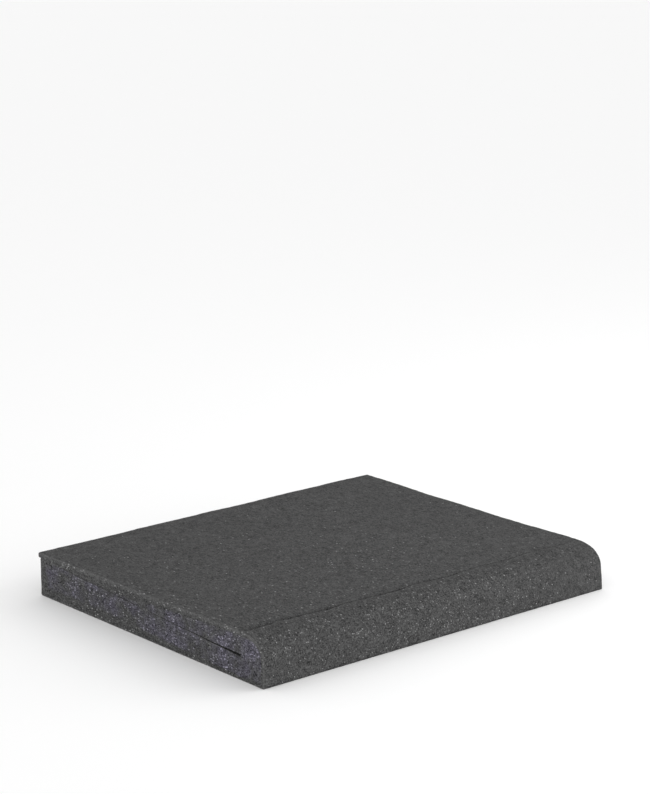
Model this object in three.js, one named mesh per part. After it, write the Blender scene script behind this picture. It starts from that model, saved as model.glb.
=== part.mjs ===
// Vibration isolation pad: a firm foam base with a rounded front lip and a sloping seat, and a loose
// foam wedge that fills the seat up to a level top. Millimetres, +Z up, front towards -Y.
import * as THREE from "three";

// Overall size
const padWidth = 394; // left end to right end
const baseDepth = 328; // foot of the front lip to the back face
const padHeight = 40; // table to the level top

// Front lip, part of the base
const lipDepth = 30; // foot of the lip to the step behind it
const noseHeight = 19; // how far down from the top the front rounds over
const noseExponent = 2.4; // squareness of the round: 2 is an ellipse, more is fuller
const frontLean = 3; // degrees by which the front face leans back

// Wedge insert
const wedgeFrontThickness = 19; // against the lip
const wedgeBackThickness = 4.1; // over the base's back edge
const wedgeOverhang = 4; // past the base's back face

// Clearances of the two pieces as they lie together
const stepClearance = 0.4; // wedge front to the step behind the lip
const seatClearance = 0.3; // wedge underside to the sloping seat

// Softened edges of the cut foam
const outlineRound = 1.6; // along the length of both pieces
const endRound = 1.2; // around the two cut ends

// Fineness of the curves
const noseSteps = 28;
const cornerSteps = 4;
const endSteps = 3;

// Places worked out from the sizes
const frontY = -baseDepth / 2;
const backY = baseDepth / 2;
const stepY = frontY + lipDepth;
const leanSlope = Math.tan(THREE.MathUtils.degToRad(frontLean));
const seatFrontZ = padHeight - wedgeFrontThickness - seatClearance;
const seatBackZ = padHeight - wedgeBackThickness - seatClearance;
const seatSlope = (seatBackZ - seatFrontZ) / (backY - stepY);

// Height of the sloping seat at a given depth.
function seatHeight(y) {
  return seatFrontZ + seatSlope * (y - stepY);
}

// The lip's round: a quarter of a superellipse from the leaning front face to the level top,
// carried back with height by the same lean.
function nosePoints() {
  const noseDepth = lipDepth - leanSlope * padHeight;
  const footZ = padHeight - noseHeight;
  const points = [];
  for (let i = 0; i <= noseSteps; i++) {
    const turn = (i / noseSteps) * (Math.PI / 2);
    const inward = noseDepth * (1 - Math.cos(turn) ** (2 / noseExponent));
    const z = footZ + noseHeight * Math.sin(turn) ** (2 / noseExponent);
    points.push(new THREE.Vector2(frontY + leanSlope * z + inward, z));
  }
  return points;
}

// Rounds one convex corner of an anticlockwise outline with an arc that touches both of its sides.
function roundedCorner(before, corner, after, radius) {
  const toBefore = before.clone().sub(corner).normalize();
  const toAfter = after.clone().sub(corner).normalize();
  const halfAngle = Math.acos(toBefore.dot(toAfter)) / 2;
  const inward = toBefore.clone().add(toAfter).normalize();
  const centre = corner.clone().addScaledVector(inward, radius / Math.sin(halfAngle));
  const reach = radius / Math.tan(halfAngle);
  const start = corner.clone().addScaledVector(toBefore, reach).sub(centre);
  const end = corner.clone().addScaledVector(toAfter, reach).sub(centre);
  const arc = new THREE.EllipseCurve(centre.x, centre.y, radius, radius, start.angle(), end.angle());
  return arc.getPoints(cornerSteps);
}

// Outline of the base in depth and height: floor, back face, sloping seat, step, round lip, front face.
function baseOutline() {
  const nose = nosePoints();
  const foot = new THREE.Vector2(frontY, 0);
  const heel = new THREE.Vector2(backY, 0);
  const seatBack = new THREE.Vector2(backY, seatBackZ);
  const seatFront = new THREE.Vector2(stepY, seatFrontZ);
  return [
    ...roundedCorner(nose[0], foot, heel, outlineRound),
    ...roundedCorner(foot, heel, seatBack, outlineRound),
    ...roundedCorner(heel, seatBack, seatFront, outlineRound),
    seatFront,
    ...nose.toReversed(),
  ];
}

// Outline of the wedge: underside along the seat, thin back edge past the base, level top, upright front.
function wedgeOutline() {
  const wedgeFrontY = stepY + stepClearance;
  const wedgeBackY = backY + wedgeOverhang;
  const undersideZ = (y) => seatHeight(y) + seatClearance;
  const lowFront = new THREE.Vector2(wedgeFrontY, undersideZ(wedgeFrontY));
  const lowBack = new THREE.Vector2(wedgeBackY, undersideZ(wedgeBackY));
  const topBack = new THREE.Vector2(wedgeBackY, padHeight);
  const topFront = new THREE.Vector2(wedgeFrontY, padHeight);
  return [
    lowFront,
    ...roundedCorner(lowFront, lowBack, topBack, outlineRound),
    ...roundedCorner(lowBack, topBack, topFront, outlineRound),
    topFront,
  ];
}

// A cut foam piece: its outline in depth and height runs the pad's whole width, with softened ends.
function foamPiece(name, outline, material) {
  const soft = Math.min(endRound, 0.9 * outlineRound);
  const geometry = new THREE.ExtrudeGeometry(new THREE.Shape(outline), {
    depth: padWidth - 2 * soft,
    steps: 1,
    bevelEnabled: true,
    bevelThickness: soft,
    bevelSize: soft,
    bevelOffset: -soft,
    bevelSegments: endSteps,
  });
  geometry.translate(0, 0, soft - padWidth / 2);
  const piece = new THREE.Mesh(geometry, material);
  piece.name = name;
  // The outline's depth, height and run become Y, Z and X.
  piece.quaternion.setFromRotationMatrix(
    new THREE.Matrix4().makeBasis(
      new THREE.Vector3(0, 1, 0),
      new THREE.Vector3(0, 0, 1),
      new THREE.Vector3(1, 0, 0),
    ),
  );
  return piece;
}

const charcoalFoam = new THREE.MeshStandardMaterial({
  name: "charcoal_foam",
  color: 0x4c4c50,
  roughness: 0.95,
  metalness: 0,
});

const isolationPad = new THREE.Group();
isolationPad.add(foamPiece("base", baseOutline(), charcoalFoam));
isolationPad.add(foamPiece("wedge_insert", wedgeOutline(), charcoalFoam));
isolationPad.position.y = -wedgeOverhang / 2; // the origin is under the middle of the whole pad

export default isolationPad;
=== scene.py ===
import math
import bpy
import numpy as np
from mathutils import Matrix, Vector


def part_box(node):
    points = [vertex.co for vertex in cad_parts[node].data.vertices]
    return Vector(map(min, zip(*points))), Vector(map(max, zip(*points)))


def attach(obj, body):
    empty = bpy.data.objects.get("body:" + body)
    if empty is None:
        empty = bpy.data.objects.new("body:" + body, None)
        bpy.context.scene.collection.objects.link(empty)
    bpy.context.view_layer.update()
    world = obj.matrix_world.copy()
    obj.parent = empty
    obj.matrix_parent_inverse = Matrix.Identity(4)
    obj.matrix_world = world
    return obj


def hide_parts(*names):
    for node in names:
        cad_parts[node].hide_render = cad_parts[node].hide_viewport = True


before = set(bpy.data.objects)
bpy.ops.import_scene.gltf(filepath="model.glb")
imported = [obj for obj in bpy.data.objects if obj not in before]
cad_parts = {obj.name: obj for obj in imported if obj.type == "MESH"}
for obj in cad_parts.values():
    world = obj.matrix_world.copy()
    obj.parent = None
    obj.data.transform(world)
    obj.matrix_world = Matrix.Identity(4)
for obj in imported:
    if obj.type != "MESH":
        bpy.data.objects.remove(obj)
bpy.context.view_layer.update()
print("frame loaded with nodes", sorted(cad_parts))

mm = 0.001  # everything below is in metres, and sizes are written as millimetres times this


# The place and lens of the photograph, worked out from the pad's straight edges.
photoView = {
    "eye": (-1413.1 * mm, -1730.9 * mm, 740.0 * mm),
    "azimuth": -39.39,  # degrees round the pad, from its front towards its left end
    "elevation": 13.97,
    "roll": -0.72,
    "focalLength": 116.1,  # mm
    "longSide": 36.0,  # mm of film along the longer side of the picture
}


# The camera's turn has right, up and back as its columns, and the first two are rolled about the third.
def setCamera(view):
    turn = math.radians(view["azimuth"])
    rise = math.radians(view["elevation"])
    roll = math.radians(view["roll"])
    back = Vector((math.sin(turn) * math.cos(rise), -math.cos(turn) * math.cos(rise), math.sin(rise)))
    right = Vector((math.cos(turn), math.sin(turn), 0))
    up = back.cross(right)
    rolledRight = right * math.cos(roll) + up * math.sin(roll)
    rolledUp = up * math.cos(roll) - right * math.sin(roll)
    lens = bpy.data.cameras.new("photoCamera")
    lens.lens = view["focalLength"]
    lens.sensor_width = view["longSide"]
    camera = bpy.data.objects.new("photoCamera", lens)
    axes = Matrix((rolledRight, rolledUp, back)).transposed().to_4x4()
    camera.matrix_world = Matrix.Translation(view["eye"]) @ axes
    bpy.context.scene.collection.objects.link(camera)
    bpy.context.scene.camera = camera


# Colours are written as sRGB hex and turned to the linear values that shaders take.
def linearColour(hexText):
    channels = [int(hexText[place:place + 2], 16) / 255 for place in (1, 3, 5)]
    linear = [c / 12.92 if c <= 0.04045 else ((c + 0.055) / 1.055) ** 2.4 for c in channels]
    return (*linear, 1.0)


# Adds a node. Each setting is a property of it, or a socket by name or number, which takes a value or is
# linked to a (node, output) pair.
def addNode(tree, kind, settings=None):
    node = tree.nodes.new("ShaderNode" + kind)
    for name, value in (settings or {}).items():
        if isinstance(value, tuple) and isinstance(value[0], bpy.types.Node):
            tree.links.new(value[0].outputs[value[1]], node.inputs[name])
        elif isinstance(name, str) and hasattr(node, name):
            setattr(node, name, value)
        else:
            node.inputs[name].default_value = value
    return node


studio = {
    "horizonStrength": 1.75,  # most of the light comes from low all round, and less from overhead
    "zenithStrength": 0.56,
    "floorColour": "#fcfcfc",
    "floorRoughness": 0.9,
    "floorSpecular": 0.1,
    "floorReach": 14.0,  # metres each way, past anything the camera sees
    "floorHeight": 0.1 * mm,  # the foam is that soft underneath, and no two faces share a plane
    "softboxPower": 5.5,
    "softboxSide": 0.9,
    "softboxPlace": (0.88, -0.7, 0.44),  # low and to the camera's right, where the front is lighter
}


# The room's light goes from the horizon's strength to the zenith's by the height of the direction. The floor
# is one square face, and the softbox is a square that looks at the origin.
def buildStudio(look):
    world = bpy.data.worlds.new("paleRoom")
    world.use_nodes = True
    tree = world.node_tree
    tree.nodes.clear()
    direction = addNode(tree, "TexCoord")
    height = addNode(tree, "SeparateXYZ", {"Vector": (direction, "Generated")})
    strength = addNode(
        tree,
        "MapRange",
        {"Value": (height, "Z"), "To Min": look["horizonStrength"], "To Max": look["zenithStrength"]},
    )
    sky = addNode(tree, "Background", {"Color": (1, 1, 1, 1), "Strength": (strength, "Result")})
    addNode(tree, "OutputWorld", {"Surface": (sky, "Background")})
    bpy.context.scene.world = world

    reach, z = look["floorReach"], look["floorHeight"]
    corners = [(-reach, -reach, z), (reach, -reach, z), (reach, reach, z), (-reach, reach, z)]
    mesh = bpy.data.meshes.new("floor")
    mesh.from_pydata(corners, [], [(0, 1, 2, 3)])
    paint = bpy.data.materials.new("mattFloorPaint")  # rolled emulsion: pale, even, no gloss
    paint.use_nodes = True
    shader = paint.node_tree.nodes["Principled BSDF"]
    shader.inputs["Base Color"].default_value = linearColour(look["floorColour"])
    shader.inputs["Roughness"].default_value = look["floorRoughness"]
    shader.inputs["Specular IOR Level"].default_value = look["floorSpecular"]
    mesh.materials.append(paint)
    floor = bpy.data.objects.new("floor", mesh)
    bpy.context.scene.collection.objects.link(floor)

    softbox = bpy.data.lights.new("softbox", "AREA")
    softbox.energy = look["softboxPower"]
    softbox.size = look["softboxSide"]
    lamp = bpy.data.objects.new("softbox", softbox)
    lamp.location = look["softboxPlace"]
    lamp.rotation_mode = "QUATERNION"
    lamp.rotation_quaternion = (-Vector(look["softboxPlace"])).to_track_quat("-Z", "Y")
    bpy.context.scene.collection.objects.link(lamp)
    bpy.context.scene.view_settings.view_transform = "Standard"


setCamera(photoView)
buildStudio(studio)
print("camera, floor and lights made")


# A straight run in a number of steps: start + (end - start) * share.
def straight(start, end, steps):
    share = np.linspace(0, 1, steps + 1)[:, None]
    return np.asarray(start) * (1 - share) + np.asarray(end) * share


# An arc in even steps: centre + radius * (cos, sin) of the angle, in degrees.
def arc(centre, radius, first, last, steps):
    angle = np.radians(np.linspace(first, last, steps + 1))
    return np.asarray(centre) + radius * np.stack([np.cos(angle), np.sin(angle)], axis=1)


# Runs and arcs end to end, without the point that two of them share.
def joined(*legs):
    return np.concatenate([legs[0]] + [leg[1:] for leg in legs[1:]])


# 0 below low, 1 above high, and s * s * (3 - 2 * s) between.
def easeBetween(value, low, high):
    share = np.clip((value - low) / (high - low), 0, 1)
    return share * share * (3 - 2 * share)


# Smooth value noise from -1 to 1: random heights on a cubic lattice of the given pitch, blended
# between the eight nearest by s * s * (3 - 2 * s) on each axis.
def softNoise(points, pitch, seed):
    cell = np.floor(points / pitch).astype(int)
    share = points / pitch - cell
    share = share * share * (3 - 2 * share)
    cell -= cell.min(axis=0)
    lattice = np.random.default_rng(seed).uniform(-1, 1, cell.max(axis=0) + 2)
    total = np.zeros(len(points))
    for corner in np.ndindex(2, 2, 2):
        weight = np.where(np.array(corner) == 1, share, 1 - share).prod(axis=1)
        total += weight * lattice[tuple((cell + corner).T)]
    return total


# The sum of height * noise over layers of (pitch, height, seed).
def layeredNoise(points, layers):
    return sum(height * softNoise(points, pitch, seed) for pitch, height, seed in layers)


# The same, where it changes only along X.
def noiseAlong(x, layers):
    return layeredNoise(np.stack([x, x * 0, x * 0], axis=1), layers)


# The same, where it changes over X and Y.
def noiseOver(x, y, layers):
    return layeredNoise(np.stack([x, y, x * 0], axis=1), layers)


# 1 at no distance, and exp(-(distance / reach) ^ 2) away from it.
def bell(distance, reach):
    return np.exp(-((distance / reach) ** 2))


# One value for each point of an outline, from (number of points, first value, last value) legs, with
# short run-outs between them.
def alongOutline(*legs, blur=3):
    values = np.concatenate([np.linspace(first, last, count) for count, first, last in legs])
    wrapped = np.concatenate([values[-blur:], values, values[:blur]])
    return np.convolve(wrapped, np.ones(blur) / blur, mode="same")[blur:-blur]


cutFoam = {
    "columnPitch": 2.0 * mm,
    "endColumns": (0.0, 0.7 * mm, 1.6 * mm, 3.0 * mm),  # closer together beside the cut ends
    "endRings": 3,  # round each cut edge
    "endRules": 18,  # from the underside to the top of each flat end
    # pitch, height and seed of each size of relief
    "relief": ((38 * mm, 0.35 * mm, 11), (11 * mm, 0.16 * mm, 12), (4.5 * mm, 0.12 * mm, 13)),
    "flatBelow": 2.5 * mm,  # the relief fades out here, so that the underside lies flat
    "rubbedAtFront": 3 * mm,  # the sawn ends are rubbed plain this far in from their outside edges
    "rubbedAtBack": 12 * mm,
    "sawnAtFront": 1.08,  # and show more of the saw towards the front
    # a painted highlight along the cut edges, on the thin edges and down from the upper edge of each end
    "highlightBesideEdge": 0.3,  # how strong the painted highlight is right beside a cut edge, where the edge itself is 1
    "highlightReach": 4 * mm,  # the painted highlight reaches this far down from the upper edge of an end
    "highlightShare": 0.8,
    "highlightFrom": (0.5, 0.8),  # shares of the height between which that comes in
    "closedAtRight": 0.75,  # share of the cell windows, and so of the painted glints, that is missing at the right end
    "closedFrom": 0.2,  # share of the right half where they start to be missing
}


# A block of cut foam as one closed skin. roofLine(share) and floorLine(share) give the same number of
# (depth, height) points, from the low front corner to the low back one, at a share of the way along X.
# Point (k, column) is the outline's point k, blended between the left end's and the right end's. At each
# end it turns in on a quarter circle of radius ending[k], and the flat end is ruled straight from each
# floor point to its roof point. settle moves the finished points, and then relief * rough[k] stands them
# off along their normals. sparkle[k] is how many cell windows are left standing along the line of point k,
# which sets how many painted glints show there.
def foamPiece(name, roofLine, floorLine, ending, rough, sparkle, settle, cut):
    width = rightX - leftX
    near = np.array(cut["endColumns"])
    spans = int(round((width - 2 * near[-1]) / cut["columnPitch"]))
    inner = np.linspace(near[-1], width - near[-1], spans + 1)
    columns = np.concatenate([near[:-1], inner, width - near[:-1][::-1]]) / width

    # the roof line, and then the floor line backwards without its two ends
    def outline(share):
        return np.concatenate([roofLine(share), floorLine(share)[-2:0:-1]])

    left, right = outline(0.0), outline(1.0)
    last = len(roofLine(0.0)) - 1
    around = len(left)
    quarter = np.radians(np.linspace(0, 90, cut["endRings"] + 1))[:-1]
    rings = len(quarter)
    count = len(columns) + 2 * rings
    ringX = 1 - np.cos(quarter)
    ringIn = 1 - np.sin(quarter)
    x = np.empty((around, count))
    inset = np.zeros((around, count))
    x[:, :rings] = leftX + ending[:, None] * ringX
    x[:, rings:count - rings] = leftX + ending[:, None] + (width - 2 * ending[:, None]) * columns
    x[:, count - rings:] = rightX - ending[:, None] * ringX[::-1]
    inset[:, :rings] = ending[:, None] * ringIn
    inset[:, count - rings:] = ending[:, None] * ringIn[::-1]

    share = ((x - leftX) / width)[..., None]
    section = left[:, None] * (1 - share) + right[:, None] * share
    along = np.roll(left, -1, axis=0) - np.roll(left, 1, axis=0)
    along /= np.linalg.norm(along, axis=1)[:, None]
    inward = np.stack([along[:, 1], -along[:, 0]], axis=1)  # the outline runs clockwise, seen from +X
    section = section + inward[:, None] * inset[..., None]
    skin = np.concatenate([x[..., None], section], axis=2)

    # the flat ends, as grids of floor point by roof point
    rules = cut["endRules"]
    rise = (np.arange(1, rules) / rules)[:, None]
    roofRow = np.arange(last + 1)
    floorRow = np.concatenate([[0], np.arange(around - 1, last, -1), [last]])
    blocks = [skin.reshape(-1, 3)]
    grid = np.arange(around * count).reshape(around, count)
    total = grid.size
    ruled = []
    for column in (0, count - 1):
        low, high = skin[floorRow[1:-1], column], skin[roofRow[1:-1], column]
        blocks.append((low[:, None] * (1 - rise) + high[:, None] * rise).reshape(-1, 3))
        index = np.empty((last + 1, rules + 1), int)
        index[:, 0] = grid[floorRow, column]
        index[:, -1] = grid[roofRow, column]
        index[0], index[-1] = index[0, 0], index[-1, 0]
        index[1:-1, 1:-1] = total + np.arange((last - 1) * (rules - 1)).reshape(last - 1, rules - 1)
        total += (last - 1) * (rules - 1)
        ruled.append(index)
    points = np.concatenate(blocks)

    after = np.roll(grid, -1, axis=0)
    quads = [np.stack([grid[:, :-1], grid[:, 1:], after[:, 1:], after[:, :-1]], axis=2).reshape(-1, 4)]
    triangles = []
    for index, turned in zip(ruled, (-1, 1)):  # the left end faces the other way
        middle = np.stack([index[1:-2, :-1], index[2:-1, :-1], index[2:-1, 1:], index[1:-2, 1:]], axis=2)
        front = np.stack([index[0, :-1], index[1, :-1], index[1, 1:]], axis=1)
        back = np.stack([index[-2, :-1], index[-1, :-1], index[-2, 1:]], axis=1)
        quads.append(middle.reshape(-1, 4)[:, ::turned])
        triangles += [front[:, ::turned], back[:, ::turned]]
    quads, triangles = np.concatenate(quads), np.concatenate(triangles)

    # sawnEnd is 1 on the two cut ends, more to the front, and runs out to 0 at the nearest outside edge.
    # The painted highlight is 1 on the thin edges around them, and fades down from the upper one.
    sawnEnd = np.zeros(len(points))
    edgeHighlight = np.zeros(len(points))
    outside = ending > 0.6 * ending.max()  # not in the seam, which is sharper
    highlightLow, highlightHigh = cut["highlightFrom"]
    for end, index in zip((0, -1), ruled):
        edgePoints = skin[outside, end]
        flat = np.unique(index)
        gap = np.linalg.norm(points[flat][:, None, 1:] - edgePoints[None, :, 1:], axis=2).min(axis=1)
        back = easeBetween(points[flat, 1], left[:, 0].min(), left[:, 0].max() / 2)
        rubbed = cut["rubbedAtFront"] * (1 - back) + cut["rubbedAtBack"] * back
        sawnEnd[flat] = easeBetween(gap, 0, rubbed) * (cut["sawnAtFront"] * (1 - back) + back)
        high = easeBetween(points[flat, 2], highlightLow * topZ, highlightHigh * topZ)
        edgeHighlight[flat] = cut["highlightShare"] * high * (1 - easeBetween(gap, 0, cut["highlightReach"]))
    edgeHighlight[grid[:, :rings]] = 1
    edgeHighlight[grid[:, -rings:]] = 1
    edgeHighlight[grid[:, [rings, -rings - 1]]] = cut["highlightBesideEdge"]
    edgeHighlight[grid] *= np.clip(ending / ending.max(), 0, 1)[:, None]
    roughness = np.ones(len(points))
    roughness[grid] = rough[:, None]
    # How many cell windows the cut left standing, which sets the painted glints and the fine contrast: most
    # on the ends, fewest to the right
    openCellsAndGlints = np.ones(len(points))
    toRight = easeBetween(x, cut["closedFrom"] * rightX, rightX)
    openCellsAndGlints[grid] = sparkle[:, None] * (1 - cut["closedAtRight"] * toRight)
    openCellsAndGlints[grid[:, [0, 1, -2, -1]]] = 1

    points = settle(points)
    mesh = bpy.data.meshes.new(name)
    mesh.from_pydata(points.tolist(), [], quads.tolist() + triangles.tolist())
    normals = np.empty(len(points) * 3, np.float32)
    mesh.vertex_normals.foreach_get("vector", normals)
    relief = layeredNoise(points, cut["relief"])
    relief *= roughness * easeBetween(points[:, 2], 0, cut["flatBelow"])
    points = points + normals.reshape(-1, 3) * relief[:, None]
    mesh.vertices.foreach_set("co", points.ravel())
    for title, values in (("sawnEnd", sawnEnd), ("edgeHighlight", edgeHighlight), ("openCellsAndGlints", openCellsAndGlints)):
        mesh.attributes.new(title, "FLOAT", "POINT").data.foreach_set("value", values)
    mesh.polygons.foreach_set("use_smooth", np.ones(len(mesh.polygons), bool))
    mesh.update()
    piece = bpy.data.objects.new(name, mesh)
    bpy.context.scene.collection.objects.link(piece)
    print(name, "made with", len(quads) * 2 + len(triangles), "triangles")
    return piece


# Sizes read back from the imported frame, and the fits between the two pieces.
baseLow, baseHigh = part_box("base")
wedgeLow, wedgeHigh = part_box("wedge_insert")
padFit = {
    "stepClearance": 0.4 * mm,  # from the wedge's front to the step behind the lip
    "seatClearance": 0.3 * mm,  # from the wedge's underside to the seat
    "wedgeBackThickness": 4.1 * mm,  # over the base's back edge
    "jointGap": 0.12 * mm,  # what is left of the step's clearance, because the foam is pressed in
    "leftProud": 0.2 * mm,  # the sawn ends stand out past the level block's by this
    "rightProud": 0.9 * mm,
}
leftX = baseLow.x - padFit["leftProud"]
rightX = baseHigh.x + padFit["rightProud"]
topZ = wedgeHigh.z
stepY = wedgeLow.y - padFit["stepClearance"]
seatFrontZ = wedgeLow.z - padFit["seatClearance"]
seatBackZ = topZ - padFit["wedgeBackThickness"] - padFit["seatClearance"]


# The sloping seat: front height + (back height - front height) * share of the depth behind the step.
def seatHeight(y):
    return seatFrontZ + (seatBackZ - seatFrontZ) * (y - stepY) / (baseHigh.y - stepY)


# How far the foam departs from the level block, as the photograph shows it.
unevenness = {
    "topRise": 0.5 * mm,  # the whole top stands over the level block's by this
    "leftFrontRise": 2.5 * mm,  # the front left stands taller still
    "leftBackRise": 0.2 * mm,
    "lipFront": 2 * mm,  # behind the foot of the lip, where the rise is all taken up below the nose
    "lipNose": 19 * mm,  # under the top
    "rightSag": 1.2 * mm,  # the right side dips behind the lip
    "sagFrom": (15 * mm, 75 * mm),  # behind the step, where the dip begins and is full
    "sagTo": (40 * mm, 160 * mm),  # behind the pad's middle, where it starts to go and is gone
    "stepWander": 2.5 * mm,  # cut by hand, so the line behind the lip wanders
    "stepNoise": ((34 * mm, 1.0, 1649), (12 * mm, 0.1, 6)),  # pitch, height and seed
    "stepReach": 9 * mm,  # how far the wander is felt on either side
    "stepSkew": 3.4 * mm,  # and it runs further back towards the right
    "skewReach": 14 * mm,
    "seatWander": 0.25 * mm,
    "seatNoise": ((24 * mm, 1.0, 7), (9 * mm, 0.5, 8)),
    "seatReach": 3 * mm,
    "creaseOpen": 4.0 * mm,  # widest gape of the joint behind the lip, near the left end
    "creaseAtRight": 0.12,  # share of it near the right end
    "creaseEnds": (1 * mm, 6 * mm),  # from each end of the pad, where the gape begins and is full
    "creaseNoise": ((13 * mm, 0.5, 21), (5 * mm, 0.3, 22)),
    "creaseMiddle": 0.7,  # share of the gape that the noise wanders about
    "creaseLeast": 0.35,
    "creaseReach": 3 * mm,
    "creaseDepth": 3 * mm,
    "creaseDip": 0.3,  # the foam beside it drops by this share of the gape
}


# The rise fades from the front left to the right and to the back, and is taken up above the seat and,
# in the lip, below the nose. The step and the seat wander by noise, and the step is skewed by a share of
# the way to the right. Each fades out on a bell away from where it lies. The crease pushes the foam on
# both sides of the joint apart by half of its gape, which fades with depth as exp(-depth / creaseDepth).
def settled(points):
    x, y, z = points.T
    share = (x - baseLow.x) / (baseHigh.x - baseLow.x)
    toBack = np.clip((y - stepY) / (baseHigh.y - stepY), 0, 1)
    rise = unevenness["leftFrontRise"] * (1 - toBack) + unevenness["leftBackRise"] * toBack
    dip = easeBetween(y - stepY, *unevenness["sagFrom"]) * (1 - easeBetween(y, *unevenness["sagTo"]))
    rise = unevenness["topRise"] + rise * (1 - share) - unevenness["rightSag"] * share * dip
    seat = seatHeight(np.maximum(y, stepY))
    aboveSeat = np.clip((z - seat) / (topZ - seat), 0, 1)
    intoLip = np.clip((stepY - y) / (stepY - baseLow.y - unevenness["lipFront"]), 0, 1)
    belowNose = np.clip(z / (topZ - unevenness["lipNose"]), 0, 1)
    weight = aboveSeat * (1 - intoLip) + belowNose * intoLip

    line = noiseAlong(x, unevenness["stepNoise"]) * bell(y - stepY, unevenness["stepReach"]) * aboveSeat
    skew = share * bell(y - stepY, unevenness["skewReach"]) * np.clip(z / seatFrontZ, 0, 1)
    swell = noiseOver(x, y, unevenness["seatNoise"]) * bell(z - seat, unevenness["seatReach"])
    swell *= easeBetween(y, stepY - 1 * mm, stepY)  # not in the lip

    gape = unevenness["creaseMiddle"] + noiseAlong(x, unevenness["creaseNoise"])
    gape = np.clip(gape, unevenness["creaseLeast"], 1)
    gape *= easeBetween(np.minimum(x - leftX, rightX - x), *unevenness["creaseEnds"])
    gape *= unevenness["creaseOpen"] * (1 - share * (1 - unevenness["creaseAtRight"]))
    fromJoint = y - stepY - padFit["jointGap"] / 2
    gape *= bell(fromJoint, unevenness["creaseReach"])
    gape *= np.exp(-(topZ - z).clip(0) / unevenness["creaseDepth"])

    moved = points.copy()
    moved[:, 1] += unevenness["stepWander"] * line + unevenness["stepSkew"] * skew
    moved[:, 1] += np.sign(fromJoint) * gape / 2
    moved[:, 2] += rise * weight + unevenness["seatWander"] * swell - unevenness["creaseDip"] * gape
    return moved


baseBlock = {
    "leftNose": 19 * mm,  # how far down from the top the nose reaches at each end
    "rightNose": 17.5 * mm,
    "leftFullness": 2.36,  # superellipse power: 2 is an ellipse, more is fuller
    "rightFullness": 2.12,
    "leftLean": 0.0,  # degrees that the front leans back at each end
    "rightLean": 5.5,
    "leftProud": 0.5 * mm,  # the front stands this far out from the level block's
    "rightProud": 0.1 * mm,
    "backProud": 1.4 * mm,  # and the heel this far
    "backLean": 1.1 * mm,  # in which the back face comes in again on its way up
    "footRound": 1.8 * mm,
    "crestRound": 0.5 * mm,
    "backRound": 1.2 * mm,
    "endRound": 0.8 * mm,
    "seamRound": 0.2 * mm,  # knife-sharp where the two pieces meet
    "beforeStep": 4 * mm,  # the underside's points gather this close to the step
    "beforeHeel": 12 * mm,
    # faces along each leg of the outline
    "steps": {
        "foot": 3,
        "face": 10,
        "nose": 26,
        "crest": 4,
        "step": 9,
        "seat": 100,
        "backEdge": 3,
        "back": 16,
    },
    "brow": 9,  # the nose's last steps, which lie nearly level
    # how many cell windows stand open, and so how many painted glints show, at the start and at the end
    # of each part of the outline
    "openLip": (0.9, 0.9),
    "openBrow": (0.8, 0.3),
    "openHidden": (0.4, 0.3),
    "openRest": (0.6, 0.6),
}


# The left end's value * (1 - share) + the right end's * share.
def blended(block, name, share):
    return block["left" + name] * (1 - share) + block["right" + name] * share


# The base's roof: half of the foot's arc, the leaning front, a quarter of the superellipse
# |u|^n + |v|^n = 1 sheared by the lean, the crest's arc, the step, the seat, and the back face down to
# its heel.
def baseRoof(share):
    block, steps = baseBlock, baseBlock["steps"]
    slope = math.tan(math.radians(blended(block, "Lean", share)))
    frontY = baseLow.y - blended(block, "Proud", share)
    foot, crest, back = block["footRound"], block["crestRound"], block["backRound"]
    turn = np.linspace(0, math.pi / 2, steps["nose"] + 1)
    power = 2 / blended(block, "Fullness", share)
    noseDepth = stepY - crest - frontY - slope * topZ
    noseZ = topZ - blended(block, "Nose", share) * (1 - np.sin(turn) ** power)
    noseY = frontY + slope * noseZ + noseDepth * (1 - np.clip(np.cos(turn), 0, 1) ** power)
    heelY = baseHigh.y + block["backProud"]
    backY = heelY - block["backLean"]
    return joined(
        arc((frontY + foot, foot), foot, 225, 180, steps["foot"]),
        straight((frontY, foot), (noseY[0], noseZ[0]), steps["face"]),
        np.stack([noseY, noseZ], axis=1),
        arc((stepY - crest, topZ - crest), crest, 90, 0, steps["crest"]),
        straight((stepY, topZ - crest), (stepY, seatFrontZ), steps["step"]),
        straight((stepY, seatFrontZ), (backY - back, seatBackZ), steps["seat"]),
        arc((backY - back, seatBackZ - back), back, 90, 0, steps["backEdge"]),
        straight((backY, seatBackZ - back), (heelY, foot), steps["back"]),
        arc((heelY - foot, foot), foot, 0, -45, steps["foot"]),
    )


# The base's underside, level at 0 between half arcs at the foot and the heel. Its points keep below
# the roof's, so that the ruled ends are even.
def baseFloor(share):
    block, steps = baseBlock, baseBlock["steps"]
    foot = block["footRound"]
    frontY = baseLow.y - blended(block, "Proud", share)
    heelY = baseHigh.y + block["backProud"]
    crest = steps["face"] + steps["nose"] + steps["crest"]
    step = crest + steps["step"]
    seat = step + steps["seat"]
    end = seat + steps["backEdge"] + steps["back"]
    beforeStep, beforeHeel = stepY - block["beforeStep"], heelY - block["beforeHeel"]
    stations = (frontY + foot, beforeStep, stepY, beforeHeel, heelY - foot)
    y = np.interp(np.arange(end + 1), (0, crest, step, seat, end), stations)
    return joined(
        arc((frontY + foot, foot), foot, 225, 270, steps["foot"]),
        np.stack([y, y * 0], axis=1),
        arc((heelY - foot, foot), foot, 270, 315, steps["foot"]),
    )


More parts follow.
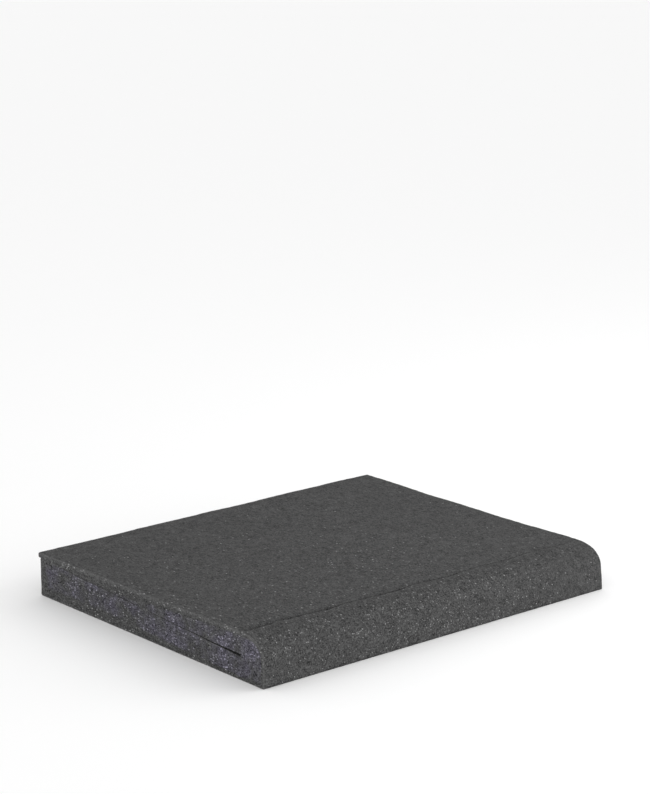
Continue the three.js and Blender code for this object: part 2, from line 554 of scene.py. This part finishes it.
# The base, with the outside round on all of its end's edge but the step and the seat, which have the
# seam's round and no relief.
def buildBase():
    block, steps = baseBlock, baseBlock["steps"]
    outside, seam = block["endRound"], block["seamRound"]
    lip = steps["foot"] + steps["face"] + steps["nose"]
    hidden = steps["crest"] + steps["step"] + steps["seat"]
    rest = 2 * sum(steps.values()) + 2 * steps["foot"] - lip - hidden  # the foot's are used twice
    ending = alongOutline((lip, outside, outside), (hidden, seam, seam), (rest, outside, outside))
    rough = alongOutline((lip, 1, 1), (hidden, 0, 0), (rest, 1, 1))
    brow = block["brow"]
    sparkle = alongOutline(
        (lip - brow, *block["openLip"]),
        (brow, *block["openBrow"]),
        (hidden, *block["openHidden"]),
        (rest, *block["openRest"]),
    )
    return foamPiece("foam_base", baseRoof, baseFloor, ending, rough, sparkle, settled, cutFoam)


wedgeBlock = {
    "crestRound": 0.5 * mm,
    "tipRound": 1.5 * mm,
    "tipUnderRound": 1.0 * mm,
    "endRound": 0.8 * mm,
    "seamRound": 0.2 * mm,
    "slitHeight": 1.6 * mm,  # the underside stands off the seat by this at the lip, beside the clearance
    "slitReach": 96 * mm,  # and is down on it this far back
    "slitPower": 1.2,
    "slitAtRight": 0.35,  # share of the slit that is left at the right end
    "behindStep": 5 * mm,  # the underside's points gather this close to the step
    "steps": {"front": 9, "crest": 4, "top": 148, "tip": 4, "tipFace": 2},
    # how many cell windows stand open, and so how many painted glints show, at the start and at the end
    # of each part of the outline
    "openFront": (0.3, 0.3),
    "openTop": (0.42, 0.02),
    "openUnder": (0.1, 0.1),
}


# The wedge's underside: seat height + clearance + slit height * (1 - share of its reach) ^ power.
def wedgeUnderside(y, share):
    block = wedgeBlock
    opening = np.clip(1 - (y - wedgeLow.y) / block["slitReach"], 0, 1) ** block["slitPower"]
    slit = block["slitHeight"] * (1 - share + share * block["slitAtRight"])
    return seatHeight(y) + padFit["seatClearance"] + slit * opening


# The wedge's roof: upright front, the crest's arc, level top, the tip's upper arc and half of its face.
def wedgeRoof(share):
    block, steps = wedgeBlock, wedgeBlock["steps"]
    crest, tip = block["crestRound"], block["tipRound"]
    frontY, backY = stepY + padFit["jointGap"], wedgeHigh.y
    middleZ = (wedgeUnderside(backY, share) + topZ) / 2
    return joined(
        straight((frontY, wedgeUnderside(frontY, share)), (frontY, topZ - crest), steps["front"]),
        arc((frontY + crest, topZ - crest), crest, 180, 90, steps["crest"]),
        straight((frontY + crest, topZ), (backY - tip, topZ), steps["top"]),
        arc((backY - tip, topZ - tip), tip, 90, 0, steps["tip"]),
        straight((backY, topZ - tip), (backY, middleZ), steps["tipFace"]),
    )


# The wedge's floor line: the run over the seat, the tip's lower arc and the other half of its face.
def wedgeFloor(share):
    block, steps = wedgeBlock, wedgeBlock["steps"]
    under = block["tipUnderRound"]
    frontY, backY = stepY + padFit["jointGap"], wedgeHigh.y
    front = steps["front"] + steps["crest"]
    end = front + steps["top"]
    stations = (frontY, frontY + block["behindStep"], backY - under)
    y = np.interp(np.arange(end + 1), (0, front, end), stations)
    low = wedgeUnderside(backY - under, share)
    middleZ = (wedgeUnderside(backY, share) + topZ) / 2
    return joined(
        np.stack([y, wedgeUnderside(y, share)], axis=1),
        arc((backY - under, low + under), under, 270, 360, steps["tip"]),
        straight((backY, low + under), (backY, middleZ), steps["tipFace"]),
    )


# The wedge, with the outside round and the relief on its top and tip only.
def buildWedge():
    block, steps = wedgeBlock, wedgeBlock["steps"]
    outside, seam = block["endRound"], block["seamRound"]
    front = steps["front"] + steps["crest"]
    bare = steps["top"] + 2 * (steps["tip"] + steps["tipFace"]) + 1
    under = 2 * sum(steps.values()) - front - bare
    ending = alongOutline((front, seam, seam), (bare, outside, outside), (under, seam, seam))
    rough = alongOutline((front, 0, 0), (bare, 1, 1), (under, 0, 0))
    sparkle = alongOutline(
        (front, *block["openFront"]), (bare, *block["openTop"]), (under, *block["openUnder"])
    )
    return foamPiece("foam_wedge", wedgeRoof, wedgeFloor, ending, rough, sparkle, settled, cutFoam)


# Open-cell polyurethane foam, dyed charcoal in the mass and sliced on a band knife: dark pores between
# lighter struts, and cell windows left standing that catch the light, painted into the colour as glints.
# The two ends were sawn across, so they are bluer in patches and have more painted glints there, and a
# cut edge carries a painted highlight that makes it a little paler.
charcoalFoam = {
    "pore": "#151515",
    "strut": "#5b5b5b",
    "sawnPore": "#121016",
    "sawnStrut": "#67656f",
    # painted glints: the colour where a cell window catches the light, on sliced and on sawn faces
    "paintedGlint": "#a2a2a2",
    "sawnPaintedGlint": "#b2aec2",
    "cellSpacing": 1.3,  # mm; the real cells are about 0.8 mm, which is finer than the render shows
    "cellStretch": 1.8,  # the cells are longer the way that the foam rose, from front to back here
    "cellRim": 0.9,  # share of the spacing from the middle of a pore to its struts
    "fleckSpacing": 0.9,  # mm; single struts, drawn coarser than they are
    "clumpSpacing": 3.0,  # mm; clumps of cells, which is what shows of them on the level top
    "mottleSpacing": 9.0,  # mm over which the dye varies
    "glintSpacing": 1.6,  # mm between places where a painted glint may show, as a cell window catches the light
    "clusterSpacing": 8.0,  # mm over which the sparkle comes and goes
    "patchSpacing": 20.0,  # mm; the knife left whole patches of the sawn ends rougher and bluer
    "patchDetail": 5.0,
    "patchRoughness": 0.62,
    "patchEdge": (0.40, 0.63),  # noise values between which a patch comes in
    "mottleTone": (0.43, 0.57),  # darkest and palest dye, where 0 is pore and 1 is strut
    "fineContrast": (0.44, 0.70),  # of cells and flecks, on the closest and on the most open faces
    "clumpContrast": (0.28, 0.26),
    "edgeHighlightLift": 0.35,  # painted highlight: a cut edge is paler by this
    "footShade": 0.10,  # darker along the foot
    "footShadeHeight": 5.0,  # mm
    "glintShare": 0.58,  # share of the places that show a painted glint, on the faces cut the most open
    "glintRim": (0.45, 0.15),  # shares of the spacing from a painted glint's edge in to its brightest part
    "glintFalloff": 3.0,  # most painted glints are faint and few are bright
    "clusterShare": (0.35, 1.3),  # of the painted glints, between clusters and in them
    "sawnShare": (-0.5, 0.7),  # change in the painted glints on the sawn ends, and what a patch adds to it
    "roughness": 0.94,
    "windowRoughness": 0.5,
    "ior": 1.5,
    "specular": 0.1,  # a porous face gives back much less than a solid one
    "strutHeight": 0.4,  # mm from pore to strut
    "bumpStrength": 0.5,
}


# A body colour from pore to strut by tone, and over it a painted glint where a cell window catches the
# light.
def foamMaterial(name, look):
    material = bpy.data.materials.new(name)
    material.use_nodes = True
    tree = material.node_tree
    tree.nodes.clear()
    perMetre = {key: 1 / (look[key] * mm) for key in look if key.endswith("Spacing")}
    colour = {key: linearColour(value) for key, value in look.items() if isinstance(value, str)}
    at = (addNode(tree, "TexCoord"), "Object")
    stretch = (1.0, 1.0 / look["cellStretch"], 1.0)
    grain = addNode(tree, "VectorMath", {"operation": "MULTIPLY", 0: at, 1: stretch})
    alongGrain = (grain, "Vector")
    sawn = addNode(tree, "Attribute", {"attribute_name": "sawnEnd"})
    # the painted highlight along the cut edges
    edge = addNode(tree, "Attribute", {"attribute_name": "edgeHighlight"})
    openAndGlinting = addNode(tree, "Attribute", {"attribute_name": "openCellsAndGlints"})

    # wall, fleck and clump run from about -0.5 in a pore to 0.5 on a strut
    centred = {"To Min": -0.5, "To Max": 0.5}
    middle = {"From Min": 0.3, "From Max": 0.7}  # where most of a noise lies
    cells = addNode(tree, "TexVoronoi", {"Vector": alongGrain, "Scale": perMetre["cellSpacing"]})
    wall = addNode(tree, "MapRange", {"Value": (cells, "Distance"), "From Max": look["cellRim"], **centred})
    flecks = addNode(
        tree, "TexNoise", {"Vector": alongGrain, "Scale": perMetre["fleckSpacing"], "Detail": 1.0}
    )
    fleck = addNode(
        tree, "MapRange", {"Value": (flecks, "Fac"), "From Min": 0.25, "From Max": 0.75, **centred}
    )
    clumps = addNode(
        tree, "TexNoise", {"Vector": alongGrain, "Scale": perMetre["clumpSpacing"], "Detail": 2.0}
    )
    clump = addNode(tree, "MapRange", {"Value": (clumps, "Fac"), **middle, **centred})
    mottles = addNode(tree, "TexNoise", {"Vector": at, "Scale": perMetre["mottleSpacing"], "Detail": 2.0})
    low, high = look["mottleTone"]
    mottle = addNode(tree, "MapRange", {"Value": (mottles, "Fac"), **middle, "To Min": low, "To Max": high})

    # tone = mottle + contrast * (wall + fleck) + contrast * clump + painted highlight - painted shade at the
    # foot
    low, high = look["fineContrast"]
    fineContrast = addNode(tree, "MapRange", {"Value": (openAndGlinting, "Fac"), "To Min": low, "To Max": high})
    low, high = look["clumpContrast"]
    clumpContrast = addNode(tree, "MapRange", {"Value": (openAndGlinting, "Fac"), "To Min": low, "To Max": high})
    fine = addNode(tree, "Math", {"operation": "ADD", 0: (wall, "Result"), 1: (fleck, "Result")})
    addTimes = {"operation": "MULTIPLY_ADD"}
    fineTone = addNode(
        tree, "Math", {**addTimes, 0: (fine, "Value"), 1: (fineContrast, "Result"), 2: (mottle, "Result")}
    )
    clumpTone = addNode(
        tree,
        "Math",
        {**addTimes, 0: (clump, "Result"), 1: (clumpContrast, "Result"), 2: (fineTone, "Value")},
    )
    highlightTone = addNode(
        tree, "Math", {**addTimes, 0: (edge, "Fac"), 1: look["edgeHighlightLift"], 2: (clumpTone, "Value")}
    )
    height = addNode(tree, "SeparateXYZ", {"Vector": at})
    shadeTop = look["footShadeHeight"] * mm
    foot = addNode(
        tree,
        "MapRange",
        {"Value": (height, "Z"), "From Max": shadeTop, "To Min": look["footShade"], "To Max": 0.0},
    )
    tone = addNode(tree, "Math", {"operation": "SUBTRACT", 0: (highlightTone, "Value"), 1: (foot, "Result")})

    # patches of the sawn ends
    patches = addNode(
        tree,
        "TexNoise",
        {
            "Vector": at,
            "Scale": perMetre["patchSpacing"],
            "Detail": look["patchDetail"],
            "Roughness": look["patchRoughness"],
        },
    )
    sawnPatches = addNode(tree, "Math", {"operation": "MULTIPLY", 0: (patches, "Fac"), 1: (sawn, "Fac")})
    low, high = look["patchEdge"]
    patch = addNode(tree, "MapRange", {"Value": (sawnPatches, "Value"), "From Min": low, "From Max": high})

    # sockets 6 and 7 and output 2 are the colour ones of a Mix node
    mixed = {"data_type": "RGBA"}
    sliced = addNode(tree, "Mix", {**mixed, 0: (tone, "Value"), 6: colour["pore"], 7: colour["strut"]})
    across = addNode(
        tree, "Mix", {**mixed, 0: (tone, "Value"), 6: colour["sawnPore"], 7: colour["sawnStrut"]}
    )
    body = addNode(tree, "Mix", {**mixed, 0: (patch, "Result"), 6: (sliced, 2), 7: (across, 2)})

    # painted glints stand in clusters: share = glint share * open cells * cluster * sawn share, where the
    # sawn share is 1 + sawn * (between + added * patch), so more in the patches and fewer between them
    windows = addNode(tree, "TexVoronoi", {"Vector": alongGrain, "Scale": perMetre["glintSpacing"]})
    number = addNode(tree, "SeparateColor", {"Color": (windows, "Color")})
    clusters = addNode(
        tree, "TexNoise", {"Vector": at, "Scale": perMetre["clusterSpacing"], "Detail": 2.0}
    )
    low, high = look["clusterShare"]
    cluster = addNode(
        tree,
        "MapRange",
        {"Value": (clusters, "Fac"), "From Min": 0.35, "From Max": 0.65, "To Min": low, "To Max": high},
    )
    spread = addNode(tree, "Math", {"operation": "MULTIPLY", 0: (openAndGlinting, "Fac"), 1: (cluster, "Result")})
    between, added = look["sawnShare"]
    uneven = addNode(tree, "Math", {**addTimes, 0: (patch, "Result"), 1: added, 2: between})
    kept = addNode(tree, "Math", {**addTimes, 0: (sawn, "Fac"), 1: (uneven, "Value"), 2: 1.0})
    share = addNode(tree, "Math", {"operation": "MULTIPLY", 0: (spread, "Value"), 1: (kept, "Value")})
    lowest = addNode(tree, "Math", {**addTimes, 0: (share, "Value"), 1: -look["glintShare"], 2: 1.0})

    # a place shows a painted glint where its random number is high, and the highest are the brightest:
    # brightness = ((number - 1 + share) / share) ^ falloff, only near the middle of the place. The range
    # ends just over 1, so that it stays open where the share is 0.
    excess = addNode(
        tree, "MapRange", {"Value": (number, "Red"), "From Min": (lowest, "Value"), "From Max": 1.001}
    )
    bright = addNode(tree, "Math", {"operation": "POWER", 0: (excess, "Result"), 1: look["glintFalloff"]})
    rim, heart = look["glintRim"]
    spot = addNode(tree, "MapRange", {"Value": (windows, "Distance"), "From Min": rim, "From Max": heart})
    glint = addNode(tree, "Math", {"operation": "MULTIPLY", 0: (bright, "Value"), 1: (spot, "Result")})
    paintedGlintColour = addNode(
        tree, "Mix", {**mixed, 0: (patch, "Result"), 6: colour["paintedGlint"], 7: colour["sawnPaintedGlint"]}
    )
    coloured = addNode(tree, "Mix", {**mixed, 0: (glint, "Value"), 6: (body, 2), 7: (paintedGlintColour, 2)})

    dull = addNode(
        tree,
        "MapRange",
        {"Value": (glint, "Value"), "To Min": look["roughness"], "To Max": look["windowRoughness"]},
    )
    bump = addNode(
        tree,
        "Bump",
        {
            "Strength": look["bumpStrength"],
            "Distance": look["strutHeight"] * mm,
            "Height": (fine, "Value"),
        },
    )
    shader = addNode(
        tree,
        "BsdfPrincipled",
        {
            "IOR": look["ior"],
            "Specular IOR Level": look["specular"],
            "Base Color": (coloured, 2),
            "Roughness": (dull, "Result"),
            "Normal": (bump, "Normal"),
        },
    )
    addNode(tree, "OutputMaterial", {"Surface": (shader, "BSDF")})
    return material


slicedFoam = foamMaterial("charcoalPolyurethaneFoam", charcoalFoam)
print("foam material made")

base = buildBase()
wedge = buildWedge()
for piece, node, slot in ((base, "base", "base_foam"), (wedge, "wedge_insert", "wedge_foam")):
    piece.data.materials.append(slicedFoam)
    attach(piece, "root")
    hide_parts(node)
